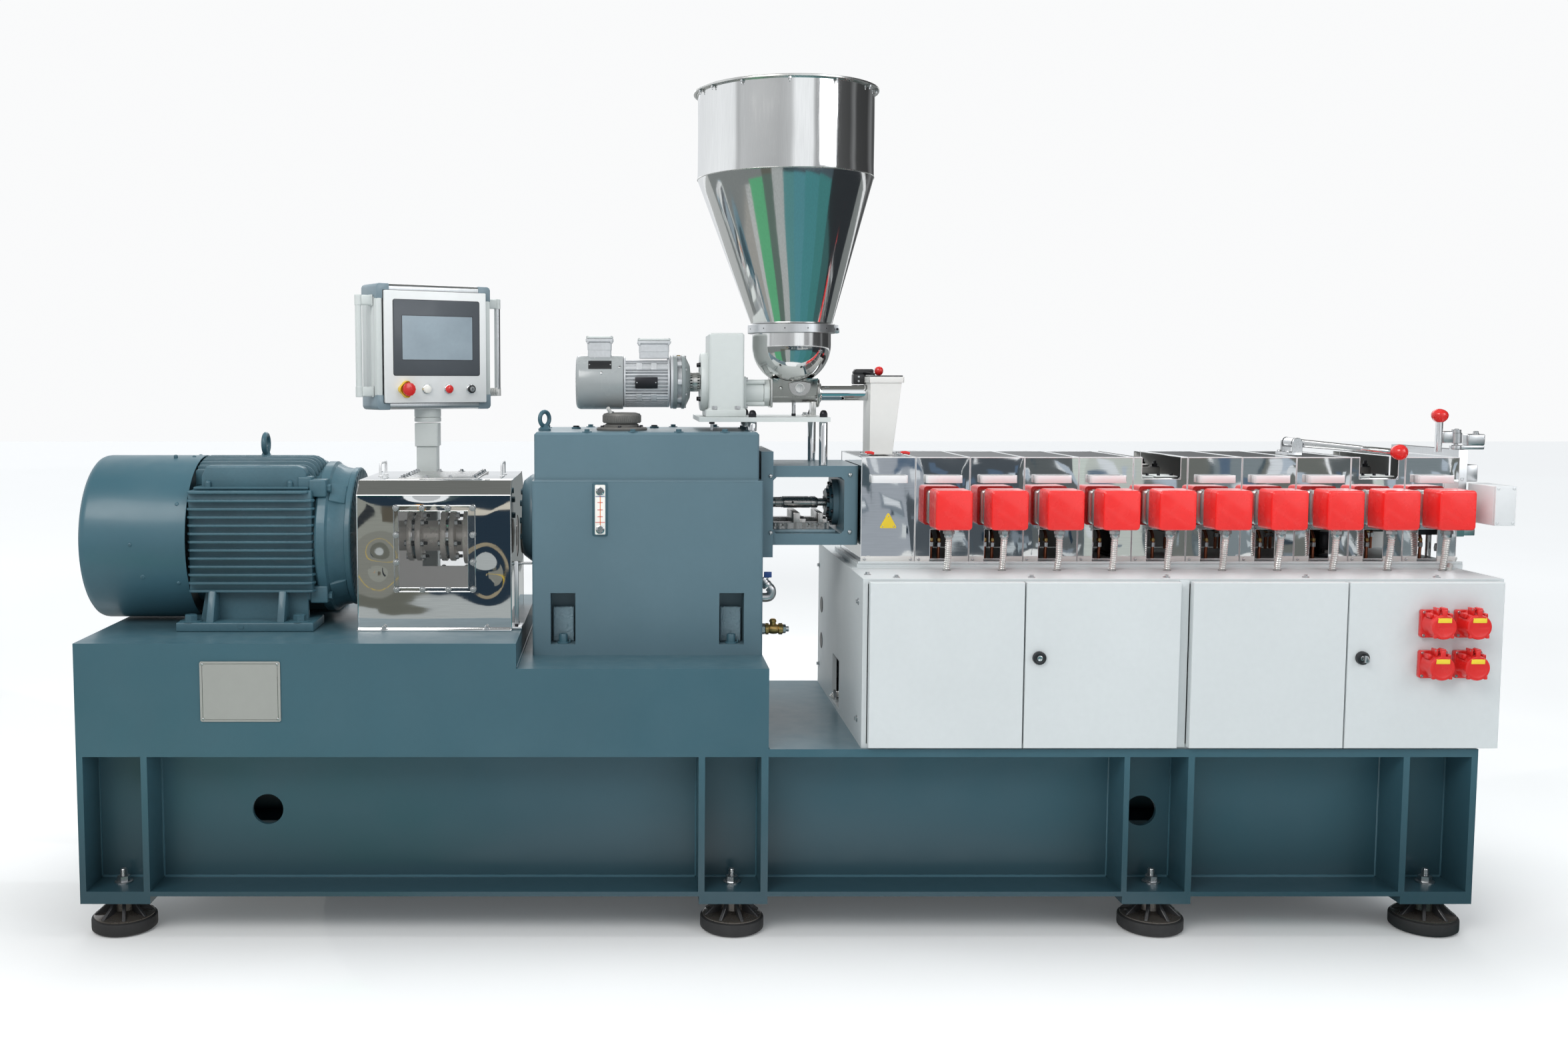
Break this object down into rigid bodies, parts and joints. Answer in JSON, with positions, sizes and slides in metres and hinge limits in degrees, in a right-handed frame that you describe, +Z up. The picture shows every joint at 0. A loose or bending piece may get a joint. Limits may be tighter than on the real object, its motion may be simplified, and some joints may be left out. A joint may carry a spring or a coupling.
{
  "type": "plastic extruder",
  "caption": "Twin-screw plastic extruder: motor, gearbox and heated barrel on a welded base, with a hopper feeder, a cabinet with hinged doors and a swivelling operator panel.",
  "frame": {"origin": "on the floor, below the centre of the machine's bounding box, with Y = 0 on the screw line", "axes": "+X along the machine towards the die end, +Y away from the operator's side, +Z up"},
  "size_m": [3.73, 0.946, 2.193],
  "materials": {
    "teal_paint": "satin",
    "cabinet_paint": "satin",
    "feeder_paint": "satin",
    "cast_paint": "satin",
    "mirror_steel": "polished",
    "stainless": "brushed",
    "dark_steel": "machined",
    "zinc_steel": "satin",
    "chrome": "polished",
    "red_plastic": "gloss",
    "black_rubber": "matte",
    "black_cast": "matte",
    "clear_pane": "clear",
    "bare_aluminium": "satin",
    "panel_grey": "satin",
    "button_plastic": "gloss"
  },
  "bodies": {
    "frame": {"motor_bed": "teal_paint", "gearbox_bed": "teal_paint", "base_top": "teal_paint", "base_webs": "teal_paint", "base_flanges": "teal_paint", "base_ribs": "teal_paint", "foot_pads": "black_rubber", "foot_caps": "black_cast", "base_bolts": "zinc_steel", "rating_plate": "bare_aluminium", "motor_body": "teal_paint", "motor_ends": "teal_paint", "eye_bolts": "zinc_steel", "coupling_guard": "mirror_steel", "guard_windows": "clear_pane", "gearbox_body": "teal_paint", "gearbox_lid": "teal_paint", "bearing_covers": "teal_paint", "gearbox_fittings": "zinc_steel", "lantern": "teal_paint", "barrel": "dark_steel", "barrel_supports": "dark_steel", "barrel_covers": "mirror_steel", "cover_handles": "chrome", "heater_bases": "stainless", "heater_boxes": "red_plastic", "heater_conduits": "stainless", "cabinet_shell": "cabinet_paint", "feeder_plate": "feeder_paint", "feeder_posts": "chrome", "feeder_gear_case": "feeder_paint", "feeder_motor": "feeder_paint", "feeder_barrel": "mirror_steel", "feeder_bowl": "mirror_steel", "hopper_clamp": "mirror_steel", "hopper": "stainless", "feed_chute": "stainless", "panel_post": "cabinet_paint", "head_plate": "stainless", "head_terminal_box": "bare_aluminium", "lever_blocks": "stainless"},
    "coupling": {"main_coupling": "dark_steel"},
    "screw_front": {"screw_shaft_front": "dark_steel"},
    "screw_rear": {"screw_shaft_rear": "dark_steel"},
    "door_1": {"cabinet_door_1": "cabinet_paint"},
    "door_2": {"cabinet_door_2": "cabinet_paint"},
    "door_3": {"cabinet_door_3": "cabinet_paint"},
    "door_4": {"cabinet_door_4": "cabinet_paint", "power_sockets": "red_plastic"},
    "panel": {"panel_box": "bare_aluminium", "panel_door": "panel_grey", "panel_buttons": "button_plastic", "panel_handles": "cabinet_paint"},
    "socket_lid_1": {"socket_lid_1": "red_plastic"},
    "socket_lid_2": {"socket_lid_2": "red_plastic"},
    "socket_lid_3": {"socket_lid_3": "red_plastic"},
    "socket_lid_4": {"socket_lid_4": "red_plastic"},
    "vent_lever": {"vent_lever": "stainless"},
    "clamp_lever": {"clamp_lever": "stainless"}
  },
  "joints": [
    {"name": "coupling_spin", "type": "hinge", "parent": "frame", "child": "coupling", "pos_m": [-0.939, 0, 0.984], "axis": [1, 0, 0], "continuous": true},
    {"name": "screw_front_spin", "type": "hinge", "parent": "frame", "child": "screw_front", "pos_m": [0.061, -0.018, 1.078], "axis": [1, 0, 0], "continuous": true},
    {"name": "screw_rear_spin", "type": "hinge", "parent": "frame", "child": "screw_rear", "pos_m": [0.061, 0.018, 1.078], "axis": [1, 0, 0], "continuous": true},
    {"name": "door_1_hinge", "type": "hinge", "parent": "frame", "child": "door_1", "pos_m": [0.189, -0.433, 0.703], "axis": [0, 0, -1], "range_deg": [0, 105]},
    {"name": "door_2_hinge", "type": "hinge", "parent": "frame", "child": "door_2", "pos_m": [0.959, -0.433, 0.703], "axis": [0, 0, 1], "range_deg": [0, 90]},
    {"name": "door_3_hinge", "type": "hinge", "parent": "frame", "child": "door_3", "pos_m": [0.993, -0.433, 0.703], "axis": [0, 0, -1], "range_deg": [0, 90]},
    {"name": "door_4_hinge", "type": "hinge", "parent": "frame", "child": "door_4", "pos_m": [1.763, -0.433, 0.703], "axis": [0, 0, 1], "range_deg": [0, 105]},
    {"name": "panel_swivel", "type": "hinge", "parent": "frame", "child": "panel", "pos_m": [-1.003, 0.266, 1.311], "axis": [0, 0, 1], "range_deg": [-123, 57]},
    {"name": "vent_lever_hinge", "type": "hinge", "parent": "frame", "child": "vent_lever", "pos_m": [1.393, -0.06, 1.246], "axis": [0, -1, 0], "range_deg": [0, 80]},
    {"name": "clamp_lever_hinge", "type": "hinge", "parent": "frame", "child": "clamp_lever", "pos_m": [1.789, -0.15, 1.265], "axis": [0, 0, 1], "range_deg": [0, 120]},
    {"name": "socket_lid_1_hinge", "type": "hinge", "parent": "door_4", "child": "socket_lid_1", "pos_m": [1.587, -0.477, 0.852], "axis": [-1, 0, 0], "range_deg": [0, 110]},
    {"name": "socket_lid_2_hinge", "type": "hinge", "parent": "door_4", "child": "socket_lid_2", "pos_m": [1.673, -0.477, 0.852], "axis": [-1, 0, 0], "range_deg": [0, 110]},
    {"name": "socket_lid_3_hinge", "type": "hinge", "parent": "door_4", "child": "socket_lid_3", "pos_m": [1.587, -0.477, 0.75], "axis": [-1, 0, 0], "range_deg": [0, 110]},
    {"name": "socket_lid_4_hinge", "type": "hinge", "parent": "door_4", "child": "socket_lid_4", "pos_m": [1.673, -0.477, 0.75], "axis": [-1, 0, 0], "range_deg": [0, 110]}
  ],
  "couplings": [
    {"joint": "screw_front_spin", "follows": "coupling_spin", "ratio": 0.4},
    {"joint": "screw_rear_spin", "follows": "coupling_spin", "ratio": 0.4}
  ]
}
